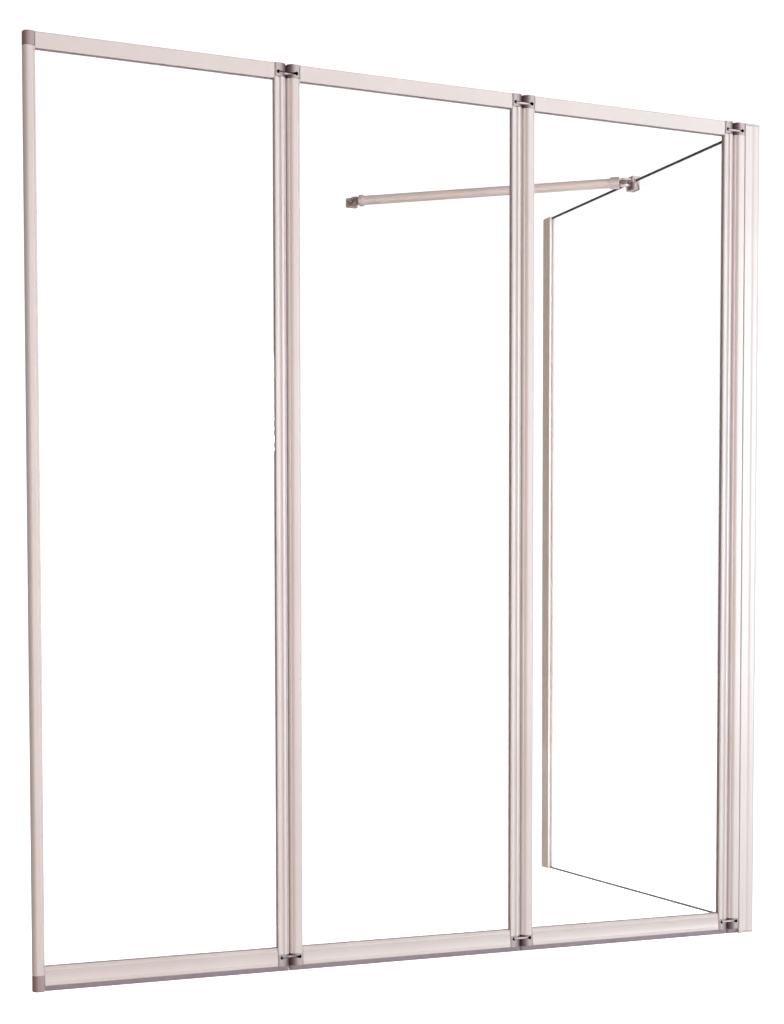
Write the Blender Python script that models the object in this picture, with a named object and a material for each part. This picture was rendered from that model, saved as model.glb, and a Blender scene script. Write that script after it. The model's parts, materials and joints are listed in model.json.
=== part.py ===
# Folding bath screen: three framed glass leaves on a corner post, a fixed side glass to the wall
# and a stabiliser bar. Metres, +Z up, X along the bath's rim, +Y to the wall behind.
# The origin is the middle of the post's foot, on the rim.
import math

import bmesh
import bpy
from mathutils import Matrix, Vector

# Overall sizes
HEIGHT = 1.400
SIDE_DEPTH = 0.750          # front of the post to the wall
LEAF_PITCH = 0.4055         # from one hinge line to the next
LEAF_THICKNESS = 0.020

# Clearances and cutting
SEAT = 0.0003               # between pieces that touch on the real screen
RUN = 0.0005                # between pieces that turn past each other
OVERRUN = 0.002             # how far a cutter runs past what it cuts

# Hinges
NOSE_GAP = 0.0010           # between the round noses of two stiles
SLOT_REACH = 0.00375        # how far the slot runs past the pin, at the face
LINK_LONG_SIDE = 0.0078     # link's edge from the leaf's mid plane, on its wide side
LINK_SHORT_SIDE = 0.0034    # the same on the side that it folds to
LINK_THICKNESS = 0.0025
LINK_INSET = 0.0125         # top of the block to the link's near face
PIN_RADIUS = 0.0020
PIN_BASE = 0.0030           # block left under a pin
PIN_SINK = 0.0008           # pin's head below the block's outer face

# Stile extrusion
STILE_WIDTH = 0.0200        # glass side to the tip of the nose
STILE_WALL = 0.0016
STILE_LIP_RADIUS = 0.0030   # outer edges on the glass side
STILE_EDGE_RADIUS = 0.0008
FLUTE_CENTRE = 0.0062
FLUTE_WIDTH = 0.0080
FLUTE_DEPTH = 0.0011
SHEATH_START = 0.0145       # soft nose strip begins here, from the glass side
SHEATH_THICKNESS = 0.0018

# Glass and gaskets
LEAF_GLASS = 0.005
SIDE_GLASS = 0.006
CHANNEL_WIDTH = 0.0090
CHANNEL_DEPTH = 0.0085
GLASS_EDGE_GAP = 0.0020     # glass edge to the floor of the channel
GASKET_PROUD = 0.0005       # lip of the gasket that shows outside the channel
GASKET_FLOOR = 0.0008

# Rails
RAIL_THICKNESS = 0.0180
RAIL_WALL = 0.0016
RAIL_EDGE_RADIUS = 0.0025
TOP_RAIL_HEIGHT = 0.0240
BOTTOM_RAIL_HEIGHT = 0.0290
LEDGE_DROP = 0.0040         # sloping ledge at the top of the bottom rail
LEDGE_RUN = 0.0030
STEP_DEPTH = 0.0007
BEAD_HEIGHT = 0.0050        # lower bead of the bottom rail
SEAL_SLOT_WIDTH = 0.0034
SEAL_SLOT_DEPTH = 0.0040

# Drip seal
DRIP_HEIGHT = 0.0080
DRIP_WIDTH = 0.0120
DRIP_LIP_HEIGHT = 0.0030    # narrower foot of the seal
DRIP_LIP_INSET = 0.0015

# Corner blocks
BLOCK_HEIGHT = 0.0205
CAP_BOTTOM_HEIGHT = 0.0270  # cap at the free edge, down to the rim
STILE_LEG_LENGTH = 0.0260
STILE_LEG_RADIUS = 0.0052
RAIL_LEG_LENGTH = 0.0300
LEG_ROOT = 0.0020           # how far a leg is rooted in its block

# Corner post
POST_SIZE = 0.0330
POST_WALL = 0.0018
POST_CORNER_RADIUS = 0.0100
POST_EDGE_RADIUS = 0.0010
POST_FLUTE_X = -0.0015
POST_FLUTE_WIDTH = 0.0080
POST_FLUTE_DEPTH = 0.0008
POST_CHANNEL_DEPTH = 0.0120
POST_CAP = 0.0030
POST_CAP_LEG = 0.0120
RIB_NECK = 0.0032           # dovetail rib that joins the hinge stile to the post
RIB_HEAD = 0.0064
RIB_HEAD_LENGTH = 0.0016

# Side glass and wall profile
SIDE_GLASS_X = -0.0050
SIDE_GLASS_BOTTOM = 0.0190
SIDE_GLASS_DROP = 0.0070        # top of the post to the glass's top edge
WALL_PROFILE_WIDTH = 0.0150
WALL_PROFILE_DEPTH = 0.0300
WALL_PROFILE_WALL = 0.0020
WALL_PROFILE_OVERLAP = 0.0180   # glass inside the wall profile
WALL_GASKET_DEPTH = 0.0100
WALL_SCREW_COUNT = 4
WALL_SCREW_END = 0.0900         # first and last screw from the profile's ends
WALL_SCREW_RADIUS = 0.0020

# Stabiliser bar
BAR_DROP = 0.0050               # glass's top edge to the middle of the bar
BAR_ANGLE = math.radians(38.5)  # from the wall behind
BAR_RADIUS = 0.0090
BAR_WALL = 0.0015
CLAMP_Y = 0.3760                # bar's pivot at the clamp
KNUCKLE_REACH = 0.0220          # bar's pivots from the wall and from the glass
SOCKET_RADIUS = 0.0112
SOCKET_WALL_LENGTH = 0.0160
SOCKET_GLASS_LENGTH = 0.0380
SOCKET_START = 0.0090           # from the pivot to the socket's end
SOCKET_FLOOR = 0.0030
TONGUE_THICKNESS = 0.0070
TONGUE_WIDTH = 0.0130
FORK_THICKNESS = 0.0040
BAR_PIN_RADIUS = 0.0020
SET_SCREW_RADIUS = 0.0016
SET_SCREW_SHARE = 0.75          # set screw along the socket
BRACKET_WIDTH = 0.0240
BRACKET_HEIGHT = 0.0230
BRACKET_PLATE = 0.0060
BRACKET_CORNER = 0.0030
BRACKET_SCREW_OFFSET = 0.0085   # screws from the middle of the bracket
CLAMP_WIDTH = 0.0240
CLAMP_LEG = 0.0270              # jaws below the glass's top edge
CLAMP_JAW = 0.0048
CLAMP_BRIDGE = 0.0050
CLAMP_PAD = 0.0012
CLAMP_SCREW_RADIUS = 0.0022
CLAMP_SCREW_RISE = 0.0138       # clamp screw above the jaws' lower ends
CLAMP_SCREW_HEAD_RADIUS = 0.0040
CLAMP_SCREW_HEAD = 0.0022

# Facets
NOSE_STEPS = 18
SMALL_STEPS = 5
ROUND_STEPS = 24
PIN_STEPS = 16

# Places worked out from the sizes
NOSE_RADIUS = LEAF_THICKNESS / 2
PIN_PITCH = 2 * NOSE_RADIUS + NOSE_GAP
PIN_INSET = PIN_PITCH / 2                       # pin from the hinge line
POST_HALF = POST_SIZE / 2
FRONT = -POST_HALF
LEAF_Y = FRONT + NOSE_RADIUS
WALL_Y = FRONT + SIDE_DEPTH
HINGE_X = [-POST_HALF - SEAT - STILE_WIDTH - NOSE_GAP / 2 - index * LEAF_PITCH for index in range(3)]
FREE_X = HINGE_X[2] - LEAF_PITCH                # free edge of the outer leaf
GLASS_BITE = CHANNEL_DEPTH - GLASS_EDGE_GAP     # glass edge inside the frame
RAIL_BOTTOM = DRIP_HEIGHT + SEAT
SIDE_GLASS_TOP = HEIGHT - SIDE_GLASS_DROP
BAR_LEVEL = SIDE_GLASS_TOP - BAR_DROP
CLAMP_BOTTOM = SIDE_GLASS_TOP - CLAMP_LEG
LINK_TOP_Z = HEIGHT - LINK_INSET - LINK_THICKNESS
LINK_BOTTOM_Z = RAIL_BOTTOM + LINK_INSET

ALUMINIUM = ("satin_aluminium", (0.72, 0.60, 0.55), 0.32, 0.90)
BLOCK_PLASTIC = ("rose_grey_plastic", (0.42, 0.34, 0.35), 0.45, 0.0)
LINK_METAL = ("link_metal", (0.70, 0.60, 0.58), 0.30, 0.85)
STEEL = ("screw_steel", (0.55, 0.54, 0.53), 0.25, 1.0)
CLEAR_GLASS = ("clear_glass", (0.90, 0.95, 0.94), 0.03, 0.0)
SOFT_GREY = ("soft_grey_seal", (0.42, 0.38, 0.38), 0.60, 0.0)
DRIP_MAUVE = ("mauve_drip_seal", (0.29, 0.24, 0.29), 0.55, 0.0)
BAR_METAL = ("bar_metal", (0.62, 0.50, 0.42), 0.30, 0.90)
FITTING_METAL = ("fitting_metal", (0.30, 0.22, 0.21), 0.35, 0.80)

# Leaf 2 folds behind leaf 1, and leaf 3 in front of leaf 2. The first hinge turns both ways,
# but no further than its wide links allow.
FOLDS_FRONT = [False, False, True]

bodies = {}
made_materials = {}


def clear_scene():
    for item in list(bpy.data.objects):
        bpy.data.objects.remove(item, do_unlink=True)


def material(spec):
    name, colour, roughness, metallic = spec
    if name not in made_materials:
        made = bpy.data.materials.new(name)
        made.use_nodes = True
        shader = made.node_tree.nodes["Principled BSDF"]
        shader.inputs["Base Color"].default_value = (*colour, 1.0)
        shader.inputs["Roughness"].default_value = roughness
        shader.inputs["Metallic"].default_value = metallic
        made_materials[name] = made
    return made_materials[name]


# Plan shapes: lists of points, counter-clockwise, in the plane that is extruded

def arc(centre, radius, start, end, steps):
    points = []
    for step in range(steps + 1):
        angle = math.radians(start + (end - start) * step / steps)
        points.append((centre[0] + radius * math.cos(angle), centre[1] + radius * math.sin(angle)))
    return points


def rectangle(low, high):
    return [(low[0], low[1]), (high[0], low[1]), (high[0], high[1]), (low[0], high[1])]


def rounded_rectangle(low, high, radius):
    left, right = low[0] + radius, high[0] - radius
    bottom, top = low[1] + radius, high[1] - radius
    return (arc((left, bottom), radius, 180, 270, SMALL_STEPS)
            + arc((right, bottom), radius, 270, 360, SMALL_STEPS)
            + arc((right, top), radius, 0, 90, SMALL_STEPS)
            + arc((left, top), radius, 90, 180, SMALL_STEPS))


def circle(centre, radius, steps):
    return arc(centre, radius, 0, 360, steps)[:-1]


def flute(centre, face, width, depth):
    """A shallow hollow in a face that looks along minus the second axis."""
    radius = (width * width / 4 + depth * depth) / (2 * depth)
    half = math.degrees(math.asin(width / 2 / radius))
    middle = (centre, face + depth - radius)
    return arc(middle, radius, 90 + half, 90 - half, 2 * SMALL_STEPS)


def placed(points, x, y, turn_round=False):
    """Moves a plan shape; turned round, its first axis points the other way."""
    if turn_round:
        return [(x - u, y + v) for u, v in reversed(points)]
    return [(x + u, y + v) for u, v in points]


# Solids

def mesh_object(name, bm, spec):
    bmesh.ops.remove_doubles(bm, verts=bm.verts, dist=SEAT / 100)
    bmesh.ops.recalc_face_normals(bm, faces=bm.faces)
    mesh = bpy.data.meshes.new(name)
    bm.to_mesh(mesh)
    bm.free()
    mesh.materials.append(material(spec))
    made = bpy.data.objects.new(name, mesh)
    bpy.context.collection.objects.link(made)
    return made


def prism(name, loops, low, high, spec, axis="Z"):
    """Extrudes an outline, with any inner outlines left open, from low to high along an axis."""
    bm = bmesh.new()
    edges = []
    for loop in loops:
        corners = [bm.verts.new((u, v, 0)) for u, v in loop]
        edges += [bm.edges.new((corners[i - 1], corners[i])) for i in range(len(corners))]
    filled = bmesh.ops.triangle_fill(bm, use_beauty=True, use_dissolve=False, edges=edges)
    faces = [item for item in filled["geom"] if isinstance(item, bmesh.types.BMFace)]
    bmesh.ops.translate(bm, verts=bm.verts, vec=(0, 0, low))
    grown = bmesh.ops.extrude_face_region(bm, geom=faces)
    raised = [item for item in grown["geom"] if isinstance(item, bmesh.types.BMVert)]
    bmesh.ops.translate(bm, verts=raised, vec=(0, 0, high - low))
    if axis == "X":                              # outline in Y and Z
        bmesh.ops.transform(bm, matrix=Matrix(((0, 0, 1, 0), (1, 0, 0, 0), (0, 1, 0, 0), (0, 0, 0, 1))),
                            verts=bm.verts)
    return mesh_object(name, bm, spec)


def box(name, low, high, spec):
    return prism(name, [rectangle(low, high)], low[2], high[2], spec)


def rod(name, start, end, radius, spec, steps=PIN_STEPS):
    """A round bar from one point to another."""
    start, end = Vector(start), Vector(end)
    way = end - start
    bm = bmesh.new()
    turned = Matrix.Translation((start + end) / 2) @ way.to_track_quat("Z", "Y").to_matrix().to_4x4()
    bmesh.ops.create_cone(bm, cap_ends=True, cap_tris=False, segments=steps, radius1=radius,
                          radius2=radius, depth=way.length, matrix=turned)
    return mesh_object(name, bm, spec)


def combine(kept, other, operation):
    """Cuts the other solid from the kept one, or joins it to it."""
    step = kept.modifiers.new(operation.lower(), "BOOLEAN")
    step.operation = operation
    step.object = other
    step.solver = "EXACT"
    bpy.context.view_layer.update()
    seen = kept.evaluated_get(bpy.context.evaluated_depsgraph_get())
    result = bpy.data.meshes.new_from_object(seen)
    kept.modifiers.clear()
    old = kept.data
    kept.data = result
    bpy.data.meshes.remove(old)
    bpy.data.objects.remove(other, do_unlink=True)
    return kept


def cut(kept, other):
    return combine(kept, other, "DIFFERENCE")


def join(kept, other):
    return combine(kept, other, "UNION")


def finish(piece, body):
    """Shades the round faces smooth and hangs the piece on its body's empty."""
    piece.data.shade_smooth()
    piece.data.set_sharp_from_angle(angle=math.radians(30))
    empty = bodies[body]
    piece.data.transform(Matrix.Translation(-world_of(empty)))
    piece.parent = empty
    return piece


def world_of(empty):
    place = empty.location.copy()
    while empty.parent:
        empty = empty.parent
        place += empty.location
    return place


def make_bodies():
    """One empty for each rigid body, on its joint's axis, each hung on the body before it."""
    def empty(name, x, y, parent):
        made = bpy.data.objects.new("axis_" + name, None)
        made.empty_display_size = LEAF_THICKNESS
        bpy.context.collection.objects.link(made)
        made.parent = parent
        offset = world_of(parent) if parent else Vector()
        made.location = Vector((x, y, 0)) - offset
        bodies[name] = made
        return made

    last = empty("fixed", 0, 0, None)
    for number, hinge_x in enumerate(HINGE_X, 1):
        last = empty("links_%d" % number, hinge_x + PIN_INSET, LEAF_Y, last)
        last = empty("leaf_%d" % number, hinge_x - PIN_INSET, LEAF_Y, last)


# Stile outlines: u from the glass side to the nose, v across the leaf, nose centre on the pin

def channel_points(depth, width):
    half = width / 2
    return [(0, half), (depth, half), (depth, -half), (0, -half)]


def stile_outline(fluted, channelled=True, sheathed=False):
    half = NOSE_RADIUS
    centre = STILE_WIDTH - NOSE_RADIUS
    lip = STILE_EDGE_RADIUS if fluted else STILE_LIP_RADIUS
    points = arc((lip, -half + lip), lip, 180, 270, SMALL_STEPS)
    if fluted:
        points += flute(FLUTE_CENTRE, -half, FLUTE_WIDTH, FLUTE_DEPTH)
    if sheathed:
        opening = math.degrees(math.acos((SHEATH_START - centre) / half))
        points += arc((centre, 0), half, -90, -opening, SMALL_STEPS)
        points += arc((centre, 0), half - SHEATH_THICKNESS - SEAT, -opening, opening, NOSE_STEPS)
        points += arc((centre, 0), half, opening, 90, SMALL_STEPS)
    else:
        points += arc((centre, 0), half, -90, 90, NOSE_STEPS)
    points += arc((lip, half - lip), lip, 90, 180, SMALL_STEPS)
    if channelled:
        points += channel_points(CHANNEL_DEPTH, CHANNEL_WIDTH)
    return points


def stile_core():
    """Chamber set back so that the glass channel keeps its floor."""
    low = CHANNEL_DEPTH + STILE_WALL
    centre = STILE_WIDTH - NOSE_RADIUS
    radius = NOSE_RADIUS - SHEATH_THICKNESS - SEAT - STILE_WALL
    opening = math.degrees(math.acos((low - centre) / radius))
    return arc((centre, 0), radius, -opening, opening, NOSE_STEPS)


def leg_outline():
    low = CHANNEL_DEPTH + STILE_WALL + SEAT
    centre = STILE_WIDTH - NOSE_RADIUS
    radius = NOSE_RADIUS - SHEATH_THICKNESS - STILE_WALL - 2 * SEAT
    opening = math.degrees(math.acos((low - centre) / radius))
    return arc((centre, 0), radius, -opening, opening, NOSE_STEPS // 2)


def sheath_outline():
    centre = STILE_WIDTH - NOSE_RADIUS
    outer = NOSE_RADIUS
    inner = outer - SHEATH_THICKNESS
    opening = math.degrees(math.acos((SHEATH_START - centre) / outer)) - math.degrees(SEAT / outer)
    return (arc((centre, 0), outer, -opening, opening, NOSE_STEPS)
            + arc((centre, 0), inner, opening, -opening, NOSE_STEPS))


def make_stile(name, body, tip_x, nose_right, low, high, fluted, sheathed):
    """A hollow upright. tip_x is the tip of its nose."""
    side = -1 if nose_right else 1
    start = tip_x + side * STILE_WIDTH
    outlines = [stile_outline(fluted, True, sheathed), stile_core()]
    loops = [placed(points, start, LEAF_Y, not nose_right) for points in outlines]
    return finish(prism(name, loops, low, high, ALUMINIUM), body)


def make_sheath(name, body, tip_x, low, high):
    loops = [placed(sheath_outline(), tip_x - STILE_WIDTH, LEAF_Y)]
    return finish(prism(name, loops, low, high, SOFT_GREY), body)


# Corner blocks

def slot_cutter(name, pin_x, side, z_low):
    """Opening for the link: a pocket round the pin, and a slot across the nose."""
    low = z_low - SEAT
    high = z_low + LINK_THICKNESS + SEAT
    reach = NOSE_RADIUS + OVERRUN
    near = pin_x - side * SLOT_REACH
    far = pin_x + side * reach
    opening = box(name, (min(near, far), LEAF_Y - reach, low), (max(near, far), LEAF_Y + reach, high),
                  BLOCK_PLASTIC)
    pocket_radius = math.hypot(LINK_LONG_SIDE, SLOT_REACH) + RUN
    pocket = prism(name + "_pocket", [circle((pin_x, LEAF_Y), pocket_radius, ROUND_STEPS)], low, high,
                   BLOCK_PLASTIC)
    return join(opening, pocket)


def block_span(at_top):
    if at_top:
        return HEIGHT - BLOCK_HEIGHT, HEIGHT
    return RAIL_BOTTOM, RAIL_BOTTOM + BLOCK_HEIGHT


def make_block(name, body, tip_x, nose_right, at_top, span, rail_leg, link):
    """A corner block: the stile's outline, a leg in the stile and one in the rail."""
    side = 1 if nose_right else -1
    start = tip_x - side * STILE_WIDTH
    low, high = span
    outline = placed(stile_outline(False, False), start, LEAF_Y, not nose_right)
    block = prism(name, [outline], low, high, BLOCK_PLASTIC)
    leg_low, leg_high = ((low - STILE_LEG_LENGTH, low + LEG_ROOT) if at_top
                         else (high - LEG_ROOT, high + STILE_LEG_LENGTH))
    leg = prism(name + "_leg", [placed(leg_outline(), start, LEAF_Y, not nose_right)], leg_low, leg_high,
                BLOCK_PLASTIC)
    join(block, leg)
    if rail_leg:
        half = RAIL_THICKNESS / 2 - RAIL_WALL - SEAT
        z_low, z_high = rail_chamber(at_top)
        near = start + side * LEG_ROOT
        far = start - side * RAIL_LEG_LENGTH
        leg = box(name + "_rail_leg", (min(near, far), LEAF_Y - half, z_low + SEAT),
                  (max(near, far), LEAF_Y + half, z_high - SEAT), BLOCK_PLASTIC)
        join(block, leg)
    channel_end = HEIGHT - TOP_RAIL_HEIGHT + CHANNEL_DEPTH
    if rail_leg and at_top and channel_end > low:
        depth = start + side * CHANNEL_DEPTH
        mouth = start - side * OVERRUN
        half = CHANNEL_WIDTH / 2
        cut(block, box(name + "_channel", (min(depth, mouth), LEAF_Y - half, low - OVERRUN),
                       (max(depth, mouth), LEAF_Y + half, channel_end), BLOCK_PLASTIC))
    if link:
        pin_x = tip_x - side * NOSE_RADIUS
        z_link = LINK_TOP_Z if at_top else LINK_BOTTOM_Z
        cut(block, slot_cutter(name + "_slot", pin_x, side, z_link))
        base, head = pin_span(at_top)
        head += OVERRUN if at_top else -OVERRUN
        base += -SEAT if at_top else SEAT
        cut(block, rod(name + "_hole", (pin_x, LEAF_Y, base), (pin_x, LEAF_Y, head), PIN_RADIUS + SEAT,
                       BLOCK_PLASTIC))
    return finish(block, body)


def pin_span(at_top):
    """The pin's inner and outer end."""
    if at_top:
        return HEIGHT - BLOCK_HEIGHT + PIN_BASE, HEIGHT - PIN_SINK
    return RAIL_BOTTOM + BLOCK_HEIGHT - PIN_BASE, RAIL_BOTTOM + PIN_SINK


# Links and pins

def link_outline(middle_x, folds_front):
    """Straight sides, round ends: narrow towards the side that the leaves fold to."""
    wide, narrow = LINK_LONG_SIDE, LINK_SHORT_SIDE
    end = SLOT_REACH - RUN
    corner = end
    front, back = (narrow, wide) if folds_front else (wide, narrow)
    half = PIN_INSET + end
    low, high = LEAF_Y - front, LEAF_Y + back
    left, right = middle_x - half + corner, middle_x + half - corner
    points = []
    for centre, start in (((left, low), 180), ((right, low), 270), ((right, high), 0), ((left, high), 90)):
        radius = min(corner, front, back)
        x = centre[0] - corner + radius if centre[0] == left else centre[0] + corner - radius
        y = centre[1] + radius if centre[1] == low else centre[1] - radius
        points += arc((x, y), radius, start, start + 90, SMALL_STEPS)
    return points


def make_links(number, middle_x, folds_front):
    """Top and bottom link, each with its two pins riveted in."""
    for at_top in (True, False):
        z_low = LINK_TOP_Z if at_top else LINK_BOTTOM_Z
        name = "hinge_%d_%s_link" % (number, "top" if at_top else "bottom")
        link = prism(name, [link_outline(middle_x, folds_front)], z_low, z_low + LINK_THICKNESS, LINK_METAL)
        base, head = pin_span(at_top)
        for side in (-1, 1):
            pin_x = middle_x + side * PIN_INSET
            join(link, rod("pin", (pin_x, LEAF_Y, base), (pin_x, LEAF_Y, head), PIN_RADIUS, LINK_METAL))
        finish(link, "links_%d" % number)


# Rails: outline in Y and Z

def rail_chamber(at_top):
    if at_top:
        return HEIGHT - TOP_RAIL_HEIGHT + CHANNEL_DEPTH + RAIL_WALL, HEIGHT - RAIL_WALL
    floor = RAIL_BOTTOM + SEAL_SLOT_DEPTH + RAIL_WALL
    return floor, RAIL_BOTTOM + BOTTOM_RAIL_HEIGHT - CHANNEL_DEPTH - RAIL_WALL


def top_rail_outline():
    half = RAIL_THICKNESS / 2
    low, high = HEIGHT - TOP_RAIL_HEIGHT, HEIGHT
    radius = RAIL_EDGE_RADIUS
    slot = CHANNEL_WIDTH / 2
    front, back = LEAF_Y - half, LEAF_Y + half
    return ([(front, low), (LEAF_Y - slot, low), (LEAF_Y - slot, low + CHANNEL_DEPTH),
             (LEAF_Y + slot, low + CHANNEL_DEPTH), (LEAF_Y + slot, low), (back, low)]
            + arc((back - radius, high - radius), radius, 0, 90, SMALL_STEPS)
            + arc((front + radius, high - radius), radius, 90, 180, SMALL_STEPS))


def bottom_rail_outline():
    half = RAIL_THICKNESS / 2
    low, high = RAIL_BOTTOM, RAIL_BOTTOM + BOTTOM_RAIL_HEIGHT
    slot = CHANNEL_WIDTH / 2
    seal = SEAL_SLOT_WIDTH / 2
    points = [(-slot, high), (-half + LEDGE_RUN, high), (-half + STEP_DEPTH, high - LEDGE_DROP),
              (-half + STEP_DEPTH, high - LEDGE_DROP - STEP_DEPTH),
              (-half, high - LEDGE_DROP - 2 * STEP_DEPTH), (-half, low + BEAD_HEIGHT),
              (-half + STEP_DEPTH, low + BEAD_HEIGHT - STEP_DEPTH),
              (-half, low + BEAD_HEIGHT - 2 * STEP_DEPTH), (-half, low + STEP_DEPTH),
              (-half + STEP_DEPTH, low), (-seal, low), (-seal, low + SEAL_SLOT_DEPTH)]
    mirrored = [(-y, z) for y, z in reversed(points)]
    floor = [(-slot, high - CHANNEL_DEPTH)]
    loop = points + mirrored + [(slot, high - CHANNEL_DEPTH)] + floor
    return [(LEAF_Y + y, z) for y, z in loop]


def make_rails(number, left, right):
    body = "leaf_%d" % number
    half = RAIL_THICKNESS / 2 - RAIL_WALL
    for at_top in (True, False):
        outline = top_rail_outline() if at_top else bottom_rail_outline()
        z_low, z_high = rail_chamber(at_top)
        chamber = rectangle((LEAF_Y - half, z_low), (LEAF_Y + half, z_high))
        name = "leaf_%d_%s_rail" % (number, "top" if at_top else "bottom")
        finish(prism(name, [outline, chamber], left + SEAT, right - SEAT, ALUMINIUM, "X"), body)


# Glass, gaskets and drip seals

def gasket_outline(glass, length, channel=CHANNEL_WIDTH):
    """A U round the glass edge: first axis out of the channel, second across the glass."""
    outer = channel / 2 - SEAT
    inner = glass / 2 + SEAT
    back = -length
    return [(back, -outer), (GASKET_PROUD / 2, -outer), (GASKET_PROUD, -inner), (back + GASKET_FLOOR, -inner),
            (back + GASKET_FLOOR, inner), (GASKET_PROUD, inner), (GASKET_PROUD / 2, outer), (back, outer)]


def make_glazing(number, left, right):
    """Glass and the gasket round it. left and right are the stiles' glass sides."""
    body = "leaf_%d" % number
    low = RAIL_BOTTOM + BOTTOM_RAIL_HEIGHT
    high = HEIGHT - TOP_RAIL_HEIGHT
    half = LEAF_GLASS / 2
    glass = box("leaf_%d_glass" % number, (left - GLASS_BITE, LEAF_Y - half, low - GLASS_BITE),
                (right + GLASS_BITE, LEAF_Y + half, high + GLASS_BITE), CLEAR_GLASS)
    finish(glass, body)
    floor = CHANNEL_DEPTH - SEAT
    proud = GASKET_PROUD
    cross = [(left - floor, low + SEAT), (left + SEAT, low + SEAT), (left + SEAT, low - floor),
             (right - SEAT, low - floor), (right - SEAT, low + SEAT), (right + floor, low + SEAT),
             (right + floor, high - SEAT), (right - SEAT, high - SEAT), (right - SEAT, high + floor),
             (left + SEAT, high + floor), (left + SEAT, high - SEAT), (left - floor, high - SEAT)]
    window = rectangle((left + proud, low + proud), (right - proud, high - proud))
    outer = CHANNEL_WIDTH / 2 - SEAT
    gasket = prism("leaf_%d_gasket" % number, [cross, window], -LEAF_Y - outer, outer - LEAF_Y, SOFT_GREY)
    gasket.data.transform(Matrix.Rotation(math.radians(90), 4, "X"))
    gap = half + SEAT
    reach = GLASS_BITE + SEAT
    cut(gasket, box("pocket", (left - reach, LEAF_Y - gap, low - reach),
                    (right + reach, LEAF_Y + gap, high + reach), SOFT_GREY))
    finish(gasket, body)


def drip_plan(left, right, round_left, round_right, half):
    """Plan of the seal: a round end turns with the nose above it."""
    points = []
    if round_right:
        points += arc((right - half, LEAF_Y), half, -90, 90, NOSE_STEPS // 2)
    else:
        points += [(right, LEAF_Y - half), (right, LEAF_Y + half)]
    if round_left:
        points += arc((left + half, LEAF_Y), half, 90, 270, NOSE_STEPS // 2)
    else:
        points += [(left, LEAF_Y + half), (left, LEAF_Y - half)]
    return points


def make_drip(name, body, left, right, round_left, round_right, root):
    half = DRIP_WIDTH / 2
    inset = DRIP_LIP_INSET
    seal = prism(name, [drip_plan(left, right, round_left, round_right, half)],
                 DRIP_LIP_HEIGHT, DRIP_HEIGHT, DRIP_MAUVE)
    lip_plan = drip_plan(left + inset, right - inset, round_left, round_right, half - inset)
    lip = prism(name + "_lip", [lip_plan], 0, DRIP_LIP_HEIGHT + inset, DRIP_MAUVE)
    join(seal, lip)
    if root:
        seal_half = SEAL_SLOT_WIDTH / 2 - SEAT
        rib = box(name + "_rib", (root[0] + SEAT, LEAF_Y - seal_half, DRIP_HEIGHT - inset),
                  (root[1] - SEAT, LEAF_Y + seal_half, RAIL_BOTTOM + SEAL_SLOT_DEPTH - SEAT), DRIP_MAUVE)
        join(seal, rib)
    finish(seal, body)


# A leaf

def make_leaf(number):
    body = "leaf_%d" % number
    right_tip = HINGE_X[number - 1] - NOSE_GAP / 2
    free = number == len(HINGE_X)
    left_tip = FREE_X if free else HINGE_X[number] + NOSE_GAP / 2
    right_glass = right_tip - STILE_WIDTH
    left_glass = left_tip + STILE_WIDTH
    low = RAIL_BOTTOM + BLOCK_HEIGHT + SEAT
    high = HEIGHT - BLOCK_HEIGHT - SEAT
    left_low = CAP_BOTTOM_HEIGHT + SEAT if free else low
    make_stile("leaf_%d_right_stile" % number, body, right_tip, True, low, high, True, True)
    make_sheath("leaf_%d_nose_seal" % number, body, right_tip, low, high)
    make_stile("leaf_%d_left_stile" % number, body, left_tip, False, left_low, high, False, False)
    make_rails(number, left_glass, right_glass)
    make_glazing(number, left_glass, right_glass)
    for at_top in (True, False):
        end = "top" if at_top else "bottom"
        span = block_span(at_top)
        make_block("leaf_%d_right_%s_block" % (number, end), body, right_tip, True, at_top, span, True, True)
        if free and not at_top:
            span = (0, CAP_BOTTOM_HEIGHT)
        name = "leaf_%d_%s_cap" % (number, end) if free else "leaf_%d_left_%s_block" % (number, end)
        make_block(name, body, left_tip, False, at_top, span, True, not free)
    drip_left = left_glass + SEAT if free else left_tip
    make_drip("leaf_%d_drip_seal" % number, body, drip_left, right_tip, not free, True,
              (left_glass, right_glass))


# Corner post and what it carries

def post_outline():
    half = POST_HALF
    edge = POST_EDGE_RADIUS
    corner = POST_CORNER_RADIUS
    slot = CHANNEL_WIDTH / 2
    points = arc((-half + edge, -half + edge), edge, 180, 270, SMALL_STEPS)
    points += flute(POST_FLUTE_X, -half, POST_FLUTE_WIDTH, POST_FLUTE_DEPTH)
    points += arc((half - corner, -half + corner), corner, 270, 360, NOSE_STEPS // 2)
    points += arc((half - edge, half - edge), edge, 0, 90, SMALL_STEPS)
    points += [(SIDE_GLASS_X + slot, half), (SIDE_GLASS_X + slot, half - POST_CHANNEL_DEPTH),
               (SIDE_GLASS_X - slot, half - POST_CHANNEL_DEPTH), (SIDE_GLASS_X - slot, half)]
    points += arc((-half + edge, half - edge), edge, 90, 180, SMALL_STEPS)
    neck = RIB_NECK / 2 + SEAT
    head = RIB_HEAD / 2 + SEAT
    depth = POST_WALL + RIB_HEAD_LENGTH + 2 * SEAT
    points += [(-half, LEAF_Y + neck), (-half + POST_WALL, LEAF_Y + neck), (-half + POST_WALL, LEAF_Y + head),
               (-half + depth, LEAF_Y + head), (-half + depth, LEAF_Y - head),
               (-half + POST_WALL, LEAF_Y - head), (-half + POST_WALL, LEAF_Y - neck),
               (-half, LEAF_Y - neck)]
    return points


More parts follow.
